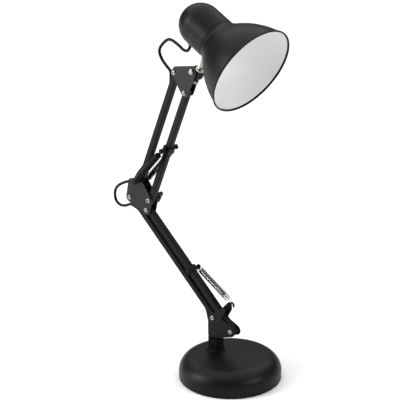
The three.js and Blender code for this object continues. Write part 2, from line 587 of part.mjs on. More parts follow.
add('lead_lower_run', leadGeometry(inBar(lowerRear, LOWER_LEAN, LOWER_LENGTH)), blackRubber);
add('lead_upper_run', leadGeometry(inBar(upperRear, UPPER_LEAN, UPPER_LENGTH)), blackRubber);
add('lead_foot', leadGeometry([
  alongArm(lowerRear, LOWER_LEAN, SLOT_CENTRE - GAP, -5.4),
  alongArm(lowerRear, LOWER_LEAN, 15, -9.6),
  point(-46, 84), point(-39, 74), point(COLUMN_X, 67), point(COLUMN_X, 59), point(COLUMN_X, 50),
  point(COLUMN_X, 24),
]), blackRubber);
add('lead_mid_loop', leadGeometry([
  alongArm(lowerRear, LOWER_LEAN, LOWER_LENGTH - SLOT_CENTRE + GAP, -5.4),
  alongArm(lowerRear, LOWER_LEAN, LOWER_LENGTH - 13, -10.5),
  point(-220.4, 229.3), point(-233.7, 223.7), point(-245.6, 221.9), point(-255.1, 226.4), point(-258.3, 236.8),
  point(-255.5, 247), point(-246.8, 256), point(-229.8, 265.4), point(-213, 272),
  alongArm(upperRear, UPPER_LEAN, 6, -11.2),
  alongArm(upperRear, UPPER_LEAN, SLOT_CENTRE - GAP, -5.4),
]), blackRubber);
const inHead = (back, up) => {
  const at = new THREE.Vector3(-back, 0, up);
  at.applyAxisAngle(new THREE.Vector3(0, 1, 0), HEAD_TILT).add(RIM_CENTRE);
  return point(at.x, at.z);
};
add('lead_head_loop', leadGeometry([
  alongArm(upperRear, UPPER_LEAN, UPPER_LENGTH - SLOT_CENTRE + GAP, -5.4),
  alongArm(upperRear, UPPER_LEAN, UPPER_LENGTH - 8, -12.8),
  point(-134.2, 477), point(-143.9, 486.2), point(-148, 496.4), point(-144.5, 504.8), point(-127.9, 518.3),
  point(-117, 517.6), point(-104, 512.2), point(-96, 508.2), point(-88, 508.2),
  inHead(GLAND_BACK, -47), inHead(GLAND_BACK, -41), inHead(GLAND_BACK, -34), inHead(GLAND_BACK, -27),
  inHead(GLAND_BACK, -22), inHead(GLAND_BACK + 2, -15),
]), blackRubber);

export default lamp;
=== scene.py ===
"""Swing arm desk lamp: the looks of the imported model. Metres, in the model's own frame."""

import json
import math

import bmesh
import bpy
from mathutils import Matrix, Vector


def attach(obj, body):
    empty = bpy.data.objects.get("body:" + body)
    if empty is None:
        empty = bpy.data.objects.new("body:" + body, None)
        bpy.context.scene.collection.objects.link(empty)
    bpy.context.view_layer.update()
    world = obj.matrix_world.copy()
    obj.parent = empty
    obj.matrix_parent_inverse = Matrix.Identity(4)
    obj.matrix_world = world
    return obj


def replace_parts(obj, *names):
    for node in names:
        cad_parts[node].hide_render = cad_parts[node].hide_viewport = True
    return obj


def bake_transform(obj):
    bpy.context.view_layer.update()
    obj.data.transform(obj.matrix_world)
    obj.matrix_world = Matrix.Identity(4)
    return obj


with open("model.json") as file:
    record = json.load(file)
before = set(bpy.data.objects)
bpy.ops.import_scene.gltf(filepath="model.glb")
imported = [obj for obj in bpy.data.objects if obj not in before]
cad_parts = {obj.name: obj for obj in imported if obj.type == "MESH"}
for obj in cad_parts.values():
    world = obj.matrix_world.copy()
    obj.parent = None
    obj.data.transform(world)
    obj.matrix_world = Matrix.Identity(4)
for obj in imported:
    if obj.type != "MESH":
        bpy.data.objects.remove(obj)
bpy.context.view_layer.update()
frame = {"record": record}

# The lamp's lengths are in millimetres until MM turns them into metres.
# The camera, the lights, and the depths and radii in materials are in metres.
MM = 0.001
JOINTS = {joint["name"]: joint for joint in frame["record"]["behaviour"]["joints"]}


def pivot(name):
    """Place of a hinge in the arm's plane, as (x, z) in millimetres."""
    x, _, z = JOINTS[name]["pos_m"]
    return Vector((x / MM, z / MM))


# ---- the arm's geometry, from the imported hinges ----
LOWER_REAR, LOWER_FRONT = pivot("lower_arm"), pivot("lower_arm_front")
MID_REAR = pivot("middle_level")
UPPER_REAR, UPPER_FRONT = pivot("upper_arm"), pivot("upper_arm_front")
HEAD_REAR, TILT = pivot("head_level"), pivot("head_tilt")
LOWER_LEAN = math.atan2(MID_REAR.x - LOWER_REAR.x, MID_REAR.y - LOWER_REAR.y)
UPPER_LEAN = math.atan2(HEAD_REAR.x - UPPER_REAR.x, HEAD_REAR.y - UPPER_REAR.y)
LOWER_LENGTH = (MID_REAR - LOWER_REAR).length
UPPER_LENGTH = (HEAD_REAR - UPPER_REAR).length
MID_FRONT = LOWER_FRONT + (MID_REAR - LOWER_REAR)
HEAD_FRONT = UPPER_FRONT + (HEAD_REAR - UPPER_REAR)
LOWER_CLIP, UPPER_CLIP = 119, 102  # spring clips, along their bars from the pivot
SPRING_SIDE = 14.6  # springs, out from the arm's middle plane
SLOT = 24  # lead slots, from the pivots
KNOB_TURN = 0.5  # how the wing knob stands, radians
HOOK = Vector((-1.5, 118.5))  # eye of the lower spring hooks
LEAD_RADIUS = 2.3
PLATE_OUTER = 7.2  # outer faces of the bracket's cheeks and the plates
HEAD_SEAT = PLATE_OUTER + 0.15  # under the heads of rivets and bolts
HEAD_FACE = 9.7  # top of the rivet heads

# ---- the head's geometry: "back" is measured from the rim's plane along the shade's axis ----
RIM_CENTRE = Vector((42.2, 0, 502.4))
RIM_RADIUS = 71.1
HEAD_TILT = math.radians(26.5)
NECK_BACK = 75
CAP_RADIUS = 33
CAP_DOME, CAP_END = 112, 146  # where the cap starts to round, and where it ends
GLAND_BACK = 117  # where the lead goes into the cap
STRAP_RIVET = 98  # through the strap's foot into the cap


def on_arm(start, lean, along, offset=0.0):
    """A point beside an arm: so far along it, and so far to its front."""
    return Vector((
        start.x + along * math.sin(lean) + offset * math.cos(lean),
        start.y + along * math.cos(lean) - offset * math.sin(lean),
    ))


def in_plane(p, y=0.0):
    """A point of the arm's plane as a point in space, moved sideways by y."""
    return Vector((p.x, y, p.y))


HEAD = Matrix.Translation(RIM_CENTRE * MM) @ Matrix.Rotation(HEAD_TILT, 4, "Y")
ALONG_X = Matrix.Rotation(math.pi / 2, 4, "Y")
ALONG_Y = Matrix.Rotation(-math.pi / 2, 4, "X")


def in_head(back, up):
    """A point of the arm's plane, from its place in the head's own directions."""
    at = HEAD @ (Vector((-back, 0, up)) * MM) / MM
    return Vector((at.x, at.z))


def across(p):
    """Frame of a turned piece whose axis lies along +Y through a point of the arm's plane."""
    return Matrix.Translation(in_plane(p) * MM) @ ALONG_Y


# ---- camera ----
CAMERA_PLACE = (1.5652, -1.6277, 1.1393)
CAMERA_AZIMUTH, CAMERA_ELEVATION, CAMERA_ROLL = (math.radians(a) for a in (45.02, 20.53, -0.47))
SENSOR_WIDTH, FOCAL_LENGTH = 36, 144.6
camera_data = bpy.data.cameras.new("camera")
camera_data.sensor_width = SENSOR_WIDTH
camera_data.lens = FOCAL_LENGTH
camera_data.clip_start, camera_data.clip_end = 0.05, 50
camera = bpy.data.objects.new("camera", camera_data)
bpy.context.scene.collection.objects.link(camera)
camera.matrix_world = (
    Matrix.Translation(CAMERA_PLACE)
    @ Matrix.Rotation(CAMERA_AZIMUTH, 4, "Z")
    @ Matrix.Rotation(math.pi / 2 - CAMERA_ELEVATION, 4, "X")
    @ Matrix.Rotation(CAMERA_ROLL, 4, "Z")
)
bpy.context.scene.camera = camera

# ---- materials ----
DRIFT_SCALE, PATCH_SCALE = 22.0, 70.0  # noise scales of slow colour drift and uneven gloss
BUMP_DEPTH = 0.0002
WORN_RADIUS, WORN_GRAIN = 0.0006, 260.0
FLAT_DOT, EDGE_DOT = 0.985, 0.8  # how far a bevelled normal agrees with the true one, on a face and on an edge


def nodes_of(name):
    """A new material, its node tree and its main shader."""
    made = bpy.data.materials.new(name)
    made.use_nodes = True
    tree = made.node_tree
    return made, tree, tree.nodes["Principled BSDF"]


def noise_node(tree, scale, detail=3.0, roughness=0.55):
    """Noise over the object's own coordinates."""
    where = tree.nodes.new("ShaderNodeTexCoord")
    texture = tree.nodes.new("ShaderNodeTexNoise")
    texture.inputs["Scale"].default_value = scale
    texture.inputs["Detail"].default_value = detail
    texture.inputs["Roughness"].default_value = roughness
    tree.links.new(where.outputs["Object"], texture.inputs["Vector"])
    return texture.outputs["Fac"]


def remap(tree, value, low, high, from_low=0.3, from_high=0.7):
    """Stretch a value from one range to another; most of a noise lies between 0.3 and 0.7."""
    node = tree.nodes.new("ShaderNodeMapRange")
    node.inputs["From Min"].default_value = from_low
    node.inputs["From Max"].default_value = from_high
    node.inputs["To Min"].default_value = low
    node.inputs["To Max"].default_value = high
    tree.links.new(value, node.inputs["Value"])
    return node.outputs["Result"]


def mix_colour(tree, factor, first, second):
    """Mix two colours, each a tuple or another node's output."""
    node = tree.nodes.new("ShaderNodeMix")
    node.data_type = "RGBA"
    tree.links.new(factor, node.inputs["Factor"])
    # The Mix node's colour sockets are its inputs 6 and 7 and its output 2.
    for socket, value in ((node.inputs[6], first), (node.inputs[7], second)):
        if isinstance(value, tuple):
            socket.default_value = (*value, 1)
        else:
            tree.links.new(value, socket)
    return node.outputs[2]


def edge_mask(tree):
    """White on convex and concave edges, broken up by a noise."""
    soft = tree.nodes.new("ShaderNodeBevel")
    soft.samples = 4
    soft.inputs["Radius"].default_value = WORN_RADIUS
    sharp = tree.nodes.new("ShaderNodeNewGeometry")
    dot = tree.nodes.new("ShaderNodeVectorMath")
    dot.operation = "DOT_PRODUCT"
    tree.links.new(soft.outputs["Normal"], dot.inputs[0])
    tree.links.new(sharp.outputs["Normal"], dot.inputs[1])
    edge = remap(tree, dot.outputs["Value"], 1.0, 0.0, EDGE_DOT, FLAT_DOT)
    both = tree.nodes.new("ShaderNodeMath")
    both.operation = "MULTIPLY"
    tree.links.new(edge, both.inputs[0])
    tree.links.new(remap(tree, noise_node(tree, WORN_GRAIN, 4), 0.0, 1.0, 0.42, 0.62), both.inputs[1])
    return both.outputs[0]


def add_bump(tree, shader, strength, height):
    """Raise the surface by a noise."""
    bump = tree.nodes.new("ShaderNodeBump")
    bump.inputs["Strength"].default_value = strength
    bump.inputs["Distance"].default_value = BUMP_DEPTH
    tree.links.new(height, bump.inputs["Height"])
    tree.links.new(bump.outputs["Normal"], shader.inputs["Normal"])


def finish(name, colour, tint, roughness, bump, grain, metallic=0.0, specular=0.5, wear=None):
    """A surface with slow colour drift, uneven gloss, a fine grain, and worn edges where asked."""
    made, tree, shader = nodes_of(name)
    shader.inputs["Metallic"].default_value = metallic
    shader.inputs["Specular IOR Level"].default_value = specular
    drift = remap(tree, noise_node(tree, DRIFT_SCALE, 3), 0.0, 1.0)
    surface = mix_colour(tree, drift, colour, tint)
    if wear is not None:
        surface = mix_colour(tree, edge_mask(tree), surface, wear)
    tree.links.new(surface, shader.inputs["Base Color"])
    patchy = noise_node(tree, PATCH_SCALE, 5, 0.6)
    tree.links.new(remap(tree, patchy, *roughness), shader.inputs["Roughness"])
    add_bump(tree, shader, bump, noise_node(tree, grain, 2, 0.5))
    return made


plate_black = finish(
    "plate_black", (0.007, 0.007, 0.0078), (0.010, 0.010, 0.011),
    roughness=(0.34, 0.44), bump=0.16, grain=1500.0, specular=0.18, wear=(0.05, 0.05, 0.053),
)
satin_black = finish(
    "satin_black", (0.004, 0.004, 0.0045), (0.006, 0.006, 0.0068),
    roughness=(0.34, 0.44), bump=0.16, grain=1500.0, specular=0.13, wear=(0.05, 0.05, 0.053),
)
shade_black = finish(
    "shade_black", (0.003, 0.003, 0.0035), (0.005, 0.005, 0.0057),
    roughness=(0.36, 0.46), bump=0.08, grain=1800.0, specular=0.13,
)
black_plastic = finish(
    "black_plastic", (0.003, 0.003, 0.0035), (0.005, 0.005, 0.006),
    roughness=(0.30, 0.42), bump=0.18, grain=2200.0, specular=0.08,
)
bar_black = finish(
    "bar_black", (0.004, 0.004, 0.0045), (0.006, 0.006, 0.007),
    roughness=(0.34, 0.44), bump=0.16, grain=1500.0, specular=0.09, wear=(0.04, 0.04, 0.042),
)
dull_zinc = finish(
    "dull_zinc", (0.20, 0.20, 0.19), (0.28, 0.27, 0.26),
    roughness=(0.34, 0.46), bump=0.10, grain=900.0, metallic=1.0, wear=(0.34, 0.33, 0.31),
)
black_rubber = finish(
    "black_rubber", (0.003, 0.003, 0.0035), (0.006, 0.006, 0.0066),
    roughness=(0.42, 0.56), bump=0.15, grain=1300.0, specular=0.10,
)
sleeve_black = finish(
    "sleeve_black", (0.002, 0.002, 0.0025), (0.004, 0.004, 0.0045),
    roughness=(0.22, 0.32), bump=0.08, grain=900.0, specular=0.05,
)
white_enamel = finish(
    "white_enamel", (0.80, 0.80, 0.81), (0.85, 0.85, 0.86),
    roughness=(0.42, 0.56), bump=0.10, grain=1100.0,
)
nickel = finish(
    "bright_nickel", (0.28, 0.275, 0.265), (0.35, 0.34, 0.325),
    roughness=(0.32, 0.42), bump=0.10, grain=900.0, metallic=1.0, wear=(0.22, 0.21, 0.20),
)
strap_plate = finish(
    "strap_plate", (0.44, 0.41, 0.375), (0.52, 0.49, 0.45),
    roughness=(0.30, 0.42), bump=0.12, grain=900.0, metallic=0.85, wear=(0.34, 0.32, 0.30),
)
spring_steel = finish(
    "spring_steel", (0.05, 0.05, 0.053), (0.09, 0.09, 0.094),
    roughness=(0.20, 0.30), bump=0.12, grain=1200.0, metallic=1.0,
)
cast_iron = finish(
    "cast_iron", (0.05, 0.05, 0.05), (0.09, 0.085, 0.08),
    roughness=(0.6, 0.8), bump=0.5, grain=700.0, metallic=0.6,
)
brass = finish(
    "brass", (0.66, 0.47, 0.20), (0.76, 0.58, 0.28),
    roughness=(0.2, 0.34), bump=0.1, grain=900.0, metallic=1.0,
)
foam = finish(
    "foam_pad", (0.013, 0.013, 0.014), (0.026, 0.026, 0.027),
    roughness=(0.8, 0.95), bump=0.7, grain=1500.0,
)


def clear_plastic():
    """Thin clear tube, a little hazy and scuffed, its wall darkening what is seen through it."""
    made, tree, shader = nodes_of("clear_plastic")
    shader.inputs["Transmission Weight"].default_value = 1.0
    shader.inputs["IOR"].default_value = 1.45
    haze = noise_node(tree, 180.0, 4)
    tree.links.new(mix_colour(tree, haze, (0.78, 0.79, 0.80), (0.88, 0.89, 0.90)), shader.inputs["Base Color"])
    tree.links.new(remap(tree, noise_node(tree, 320.0, 3), 0.03, 0.16), shader.inputs["Roughness"])
    add_bump(tree, shader, 0.08, noise_node(tree, 500.0, 2))
    wall = tree.nodes.new("ShaderNodeVolumeAbsorption")
    wall.inputs["Color"].default_value = (0.55, 0.57, 0.60, 1)
    wall.inputs["Density"].default_value = 900.0
    tree.links.new(wall.outputs["Volume"], tree.nodes["Material Output"].inputs["Volume"])
    return made


clear_tube = clear_plastic()

# ---- mesh helpers ----
WELD = 1e-7  # points closer than this are one, metres
ON_AXIS = 1e-6


def keep(name, mesh, material):
    """Put a mesh into the scene as an object of one material."""
    obj = bpy.data.objects.new(name, mesh)
    bpy.context.scene.collection.objects.link(obj)
    mesh.materials.append(material)
    return obj


def smooth_faces(mesh, angle):
    """Shade smooth, apart from edges sharper than an angle in degrees."""
    mesh.polygons.foreach_set("use_smooth", [True] * len(mesh.polygons))
    mesh.set_sharp_from_angle(angle=math.radians(angle))


def weigh_normals(obj, keep_sharp):
    """Lean the normals towards the larger faces."""
    modifier = obj.modifiers.new("weighted", "WEIGHTED_NORMAL")
    modifier.keep_sharp = keep_sharp


def smooth(obj, angle=42.0, weighted=True):
    """Finish a new mesh's shading."""
    smooth_faces(obj.data, angle)
    if weighted:
        weigh_normals(obj, True)


def apply_modifiers(obj):
    """Leave an object as plain mesh, with what its modifiers made."""
    depsgraph = bpy.context.evaluated_depsgraph_get()
    mesh = bpy.data.meshes.new_from_object(obj.evaluated_get(depsgraph))
    obj.modifiers.clear()
    obj.data = mesh


def cut_with(obj, tool):
    """Take one mesh out of another."""
    obj.modifiers.clear()
    hole = obj.modifiers.new("cut", "BOOLEAN")
    hole.object = tool
    hole.operation = "DIFFERENCE"
    apply_modifiers(obj)
    bpy.data.objects.remove(tool)
    smooth(obj)


def mesh_piece(name, vertices, faces, material, angle=42.0, weighted=True):
    """A smooth object from bare vertices and faces, its doubled points joined and its faces turned outwards."""
    mesh = bpy.data.meshes.new(name)
    mesh.from_pydata([tuple(v) for v in vertices], [], faces)
    mesh.update()
    build = bmesh.new()
    build.from_mesh(mesh)
    bmesh.ops.remove_doubles(build, verts=build.verts, dist=WELD)
    bmesh.ops.recalc_face_normals(build, faces=build.faces)
    build.to_mesh(mesh)
    build.free()
    obj = keep(name, mesh, material)
    smooth(obj, angle, weighted)
    return obj


def rounded(corners, steps=4):
    """Fillet a polyline's inner corners; each corner is (x, y, radius) or (x, y)."""
    out = []
    last = len(corners) - 1
    for i, corner in enumerate(corners):
        here = Vector(corner[:2])
        radius = corner[2] if len(corner) > 2 else 0.0
        if i in (0, last) or radius <= 0:
            out.append(here)
            continue
        before, after = Vector(corners[i - 1][:2]) - here, Vector(corners[i + 1][:2]) - here
        half = before.angle(after) / 2
        cut = min(radius / math.tan(half), before.length * 0.49, after.length * 0.49)
        start, end = here + before.normalized() * cut, here + after.normalized() * cut
        for k in range(steps + 1):
            t = k / steps
            out.append(start.lerp(here, t).lerp(here.lerp(end, t), t))
    return out


def lathe(name, profile, matrix, material, segments=96, angle=42.0):
    """Turn a profile of (radius, height) in millimetres about the matrix's Z axis.

    The profile starts and ends on the axis, or closes on itself.
    """
    points = [Vector(p[:2]) for p in profile]
    count = len(points)
    vertices, faces = [], []
    for s in range(segments):
        turn = 2 * math.pi * s / segments
        vertices += [
            matrix @ (Vector((p.x * math.cos(turn), p.x * math.sin(turn), p.y)) * MM) for p in points
        ]
    for s in range(segments):
        a, b = s * count, ((s + 1) % segments) * count
        for i in range(count - 1):
            quad = [a + i, b + i, b + i + 1, a + i + 1]
            if points[i].x < ON_AXIS:
                quad.remove(b + i)
            if points[i + 1].x < ON_AXIS:
                quad.remove(b + i + 1)
            if len(quad) > 2:
                faces.append(quad)
    return mesh_piece(name, vertices, faces, material, angle)


def spline(points, per=8):
    """Points along a centripetal Catmull-Rom curve, in three or two dimensions."""
    ends = [points[0] * 2 - points[1], *points, points[-1] * 2 - points[-2]]
    out = []
    for p0, p1, p2, p3 in zip(ends, ends[1:], ends[2:], ends[3:]):
        knots = [0.0]
        for a, b in ((p0, p1), (p1, p2), (p2, p3)):
            knots.append(knots[-1] + max((b - a).length, 1e-9) ** 0.5)
        k0, k1, k2, k3 = knots
        for step in range(per):
            t = k1 + (k2 - k1) * step / per
            a1 = p0 * ((k1 - t) / (k1 - k0)) + p1 * ((t - k0) / (k1 - k0))
            a2 = p1 * ((k2 - t) / (k2 - k1)) + p2 * ((t - k1) / (k2 - k1))
            a3 = p2 * ((k3 - t) / (k3 - k2)) + p3 * ((t - k2) / (k3 - k2))
            b1 = a1 * ((k2 - t) / (k2 - k0)) + a2 * ((t - k0) / (k2 - k0))
            b2 = a2 * ((k3 - t) / (k3 - k1)) + a3 * ((t - k1) / (k3 - k1))
            out.append(b1 * ((k2 - t) / (k2 - k1)) + b2 * ((t - k1) / (k2 - k1)))
    return [*out, points[-1].copy()]


def tube_geometry(path, radius, sides):
    """Vertices and faces of a round tube with closed ends, its section carried along without twisting."""
    vertices, faces = [], []
    normal = None
    for i, here in enumerate(path):
        forward = (path[min(i + 1, len(path) - 1)] - path[max(i - 1, 0)]).normalized()
        if normal is None:
            normal = forward.orthogonal().normalized()
        normal = (normal - forward * normal.dot(forward)).normalized()
        side = forward.cross(normal)
        for s in range(sides):
            turn = 2 * math.pi * s / sides
            vertices.append((here + (normal * math.cos(turn) + side * math.sin(turn)) * radius) * MM)
    for i in range(len(path) - 1):
        for s in range(sides):
            a, b = i * sides + s, i * sides + (s + 1) % sides
            faces.append([a, b, b + sides, a + sides])
    faces += [list(range(sides)), [len(vertices) - 1 - s for s in range(sides)]]
    return vertices, faces


def tube(name, path, radius, material, sides=14):
    """A round tube along a path."""
    vertices, faces = tube_geometry(path, radius, sides)
    return mesh_piece(name, vertices, faces, material, 60.0, weighted=False)


SOLID_ANGLE = 46  # degrees; a carried-over solid's edges stay sharp, and are eased, above this


def paint(node, material, edge=0.3):
    """Give a carried-over solid its material, smooth curved faces and eased edges."""
    obj = bpy.data.objects[node]
    obj.data.materials.clear()
    obj.data.materials.append(material)
    smooth_faces(obj.data, SOLID_ANGLE)
    if edge:
        bevel = obj.modifiers.new("eased", "BEVEL")
        bevel.width = edge * MM
        bevel.segments = 2
        bevel.limit_method = "ANGLE"
        bevel.angle_limit = math.radians(SOLID_ANGLE)
        bevel.harden_normals = False
    weigh_normals(obj, False)


# ---- lead: one cable, in pieces split near the joints that it passes ----
LEAD_STEPS = 10  # path points from one point of a route to the next
# From the middle of a rear bar out through its slot: how far from the pivot, and how far to the front.
BAR_TO_SLOT = ((42, 0), (32, -2.2), (SLOT, -5.4))


def from_foot(start, lean):
    """The lead's way out of a rear bar by the slot near its lower end."""
    return [on_arm(start, lean, along, offset) for along, offset in BAR_TO_SLOT]


def from_top(start, lean, length):
    """The lead's way out of a rear bar by the slot near its upper end."""
    return [on_arm(start, lean, length - along, offset) for along, offset in BAR_TO_SLOT]


FOOT_ROUTE = [
    *from_foot(LOWER_REAR, LOWER_LEAN),
    on_arm(LOWER_REAR, LOWER_LEAN, 15, -9.6),
    Vector((-46, 84)), Vector((-39, 74)), Vector((-31, 67)), Vector((-31, 59)), Vector((-31, 50)),
    Vector((-31, 24)),
]
MID_ROUTE = [
    *from_top(LOWER_REAR, LOWER_LEAN, LOWER_LENGTH),
    on_arm(LOWER_REAR, LOWER_LEAN, LOWER_LENGTH - 13, -10.5),
    Vector((-220.4, 229.3)), Vector((-233.7, 223.7)), Vector((-245.6, 221.9)), Vector((-255.1, 226.4)),
    Vector((-258.3, 236.8)), Vector((-255.5, 247)), Vector((-246.8, 256)), Vector((-229.8, 265.4)),
    Vector((-213, 272)),
    on_arm(UPPER_REAR, UPPER_LEAN, 6, -11.2),
    *reversed(from_foot(UPPER_REAR, UPPER_LEAN)),
]
HEAD_ROUTE = [
    *from_top(UPPER_REAR, UPPER_LEAN, UPPER_LENGTH),
    on_arm(UPPER_REAR, UPPER_LEAN, UPPER_LENGTH - 8, -12.8),
    Vector((-134.2, 477)), Vector((-143.9, 486.2)), Vector((-148, 496.4)), Vector((-144.5, 504.8)),
    Vector((-127.9, 518.3)), Vector((-117, 517.6)), Vector((-104, 512.2)), Vector((-96, 508.2)),
    Vector((-88, 508.2)),
    *(in_head(GLAND_BACK, up) for up in (-47, -41, -34, -27, -22)),
    in_head(GLAND_BACK + 2, -15),
]


def lead_piece(name, route, first, last, node):
    """The stretch of a route between two of its points, as a tube in place of a carried-over node."""
    path = [in_plane(p) for p in spline(route, LEAD_STEPS)]
    obj = tube(name, path[first * LEAD_STEPS:last * LEAD_STEPS + 1], LEAD_RADIUS, black_rubber)
    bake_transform(obj)
    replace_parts(obj, node)


lead_piece("lead_foot_bend", FOOT_ROUTE, 0, 9, "lead_foot")
lead_piece("lead_mid_lower", MID_ROUTE, 0, 8, "lead_mid_loop")
lead_piece("lead_mid_upper", MID_ROUTE, 8, 16, "lead_mid_loop")
lead_piece("lead_head_lower", HEAD_ROUTE, 0, 7, "lead_head_loop")
lead_piece("lead_head_middle", HEAD_ROUTE, 7, 10, "lead_head_loop")
lead_piece("lead_head_upper", HEAD_ROUTE, 10, 18, "lead_head_loop")

# ---- carried-over solids ----
for node in ("mid_plate_near", "mid_plate_far", "head_plate_near", "head_plate_far"):
    paint(node, plate_black)
for node in ("lower_bracket", "base_collar", "upper_rear_pin"):
    paint(node, bar_black)
for node in ("lower_rear_bar", "lower_front_bar", "upper_rear_bar", "upper_front_bar"):
    paint(node, bar_black, 0.2)
for node in ("lower_spring_clip", "upper_spring_clip", "lampholder", "shade_ring"):
    paint(node, black_plastic)
paint("tilt_block", sleeve_black)
paint("head_strap", strap_plate, 0.2)
for node in ("swivel_stud", "swivel_nut", "tilt_nut"):
    paint(node, dull_zinc, 0.2)
for node in ("strap_rivet", "collar_nut", "mid_spacer", "swivel_spindle"):
    paint(node, nickel, 0.2)
paint("base_weight", cast_iron, 0.6)
paint("base_pad", foam)
paint("holder_contact", brass, 0.2)
for node in ("lead_lower_run", "lead_upper_run", "cord_grommet"):
    paint(node, black_rubber, 0)

# ---- base ----
BASE_RADIUS, BASE_HEIGHT, BASE_FILLET = 80, 36.2, 24.5
COVER_WALL = 1.4
COVER_FOOT = 0.8  # lower edge of the cover's wall
COVER_FLAT = 30  # radius of the flat middle of its top
STEM_HOLE = 8.3


def base_cover():
    """Pressed cover, drilled for the collar's stem.

    Its wall starts at its foot, rolls up over the shoulder, and returns underneath.
    """
    quarter = [math.pi / 2 * i / 24 for i in range(25)]

    def shoulder(reach):
        """A quarter round about the fillet's middle."""
        return [
            (BASE_RADIUS - BASE_FILLET + reach * math.cos(a), BASE_HEIGHT - BASE_FILLET + reach * math.sin(a))
            for a in quarter
        ]

    inner_radius, inner_height = BASE_RADIUS - COVER_WALL, BASE_HEIGHT - COVER_WALL
    profile = [
        (inner_radius, COVER_FOOT), (BASE_RADIUS - 0.3, COVER_FOOT), (BASE_RADIUS, COVER_FOOT + 0.3),
        (BASE_RADIUS, 6), *shoulder(BASE_FILLET), (COVER_FLAT, BASE_HEIGHT), (0, BASE_HEIGHT),
        (0, inner_height), (COVER_FLAT, inner_height), *reversed(shoulder(BASE_FILLET - COVER_WALL)),
        (inner_radius, 6), (inner_radius, COVER_FOOT),
    ]
    obj = lathe("base_shell", profile, Matrix.Identity(4), satin_black, 160)
    column = Matrix.Translation((LOWER_REAR.x * MM, 0, 0))
    drill = lathe("drill", [(0, 20), (STEM_HOLE, 20), (STEM_HOLE, 50), (0, 50)], column, satin_black, 48)
    cut_with(obj, drill)
    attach(obj, "base")
    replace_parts(obj, "base_cover")


base_cover()

# ---- rivets and bolts ----
RIVET_SHANK, RIVET_HEAD = 2.4, 4.2


def rivet(name, at, body):
    """A semi-tubular rivet: rolled tail with a dimple on the near side, low domed head on the far side."""
    half = [
        (0, HEAD_FACE), (RIVET_HEAD * 0.45, HEAD_FACE - 0.15), (RIVET_HEAD * 0.8, HEAD_FACE - 0.75),
        (RIVET_HEAD, HEAD_SEAT + 1.0, 0.4), (RIVET_HEAD, HEAD_SEAT, 0.2), (RIVET_SHANK, HEAD_SEAT),
    ]
    tail = [
        (0, HEAD_FACE - 1.5), (1.2, HEAD_FACE - 1.5, 0.3), (1.7, HEAD_FACE - 0.1, 0.3),
        (RIVET_HEAD * 0.72, HEAD_FACE - 0.3, 0.6), (RIVET_HEAD, HEAD_SEAT + 0.7, 0.4),
        (RIVET_HEAD, HEAD_SEAT, 0.2), (RIVET_SHANK, HEAD_SEAT),
    ]
    near = [(p[0], -p[1], *p[2:]) for p in tail]
    obj = lathe(name, rounded([*near, *reversed(half)]), across(at), nickel, 40)
    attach(obj, body)
    return obj


for node, at, body in (
    ("lower_rear_rivet", LOWER_REAR, "foot_swivel"),
    ("lower_front_rivet", LOWER_FRONT, "foot_swivel"),
    ("mid_rear_rivet", MID_REAR, "middle_joint"),
    ("mid_front_rivet", MID_FRONT, "middle_joint"),
    ("head_rear_rivet", HEAD_REAR, "head_yoke"),
    ("head_front_rivet", HEAD_FRONT, "head_yoke"),
):
    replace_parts(rivet(f"{node}_turned", at, body), node)


def block(name, size, matrix, material):
    """A plain block used as a cutting tool, size in millimetres."""
    build = bmesh.new()
    bmesh.ops.create_cube(build, size=1.0)
    mesh = bpy.data.meshes.new(name)
    bmesh.ops.scale(build, vec=Vector(size) * MM, verts=build.verts)
    bmesh.ops.transform(build, matrix=matrix, verts=build.verts)
    build.to_mesh(mesh)
    build.free()
    return keep(name, mesh, material)


def tilt_bolt():
    """Pivot bolt of the head, with a slotted round head on the near side."""
    shank, head, end = 2.7, 4.7, 11.5
    face = -HEAD_FACE - 0.3
    profile = rounded([
        (0, face), (3.2, face + 0.1, 1.0), (head, face + 1.0, 0.8), (head, -HEAD_SEAT, 0.2),
        (shank, -HEAD_SEAT), (shank, end, 0.5), (0, end),
    ])
    obj = lathe("tilt_bolt_turned", profile, across(TILT), nickel, 48)
    slot_turn = 0.9
    slot_frame = Matrix.Translation(in_plane(TILT, face) * MM) @ Matrix.Rotation(slot_turn, 4, "Y")
    cut_with(obj, block("slot", (12, 2.0, 1.2), slot_frame, nickel))
    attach(obj, "head_yoke")
    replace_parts(obj, "tilt_bolt")


tilt_bolt()


def clamp_bolt():
    """Bolt of the middle joint, its socket head to the near side and its thread out on the far side."""
    shank, root, head = 2.4, 2.05, 4.3
    socket_floor = 1.9 - HEAD_FACE
    thread_start, thread_stop, end = 13.8, 19.0, 19.6
    half_pitch = 0.4
    top = [
        (0, socket_floor), (2.0, socket_floor, 0.2), (2.2, -HEAD_FACE, 0.3), (3.6, 0.1 - HEAD_FACE, 0.8),
        (head, 1.2 - HEAD_FACE, 0.5), (head, -HEAD_SEAT, 0.2), (shank, -HEAD_SEAT),
    ]
    thread = [(shank, thread_start)]
    while thread[-1][1] < thread_stop:
        up = thread[-1][1]
        thread += [(root, up + half_pitch), (shank, up + 2 * half_pitch)]
    profile = [*rounded(top), *thread, (2.0, end), (0, end)]
    obj = lathe("upper_front_bolt_turned", profile, across(UPPER_FRONT), nickel, 40)
    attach(obj, "middle_joint")
    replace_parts(obj, "upper_front_bolt")


clamp_bolt()


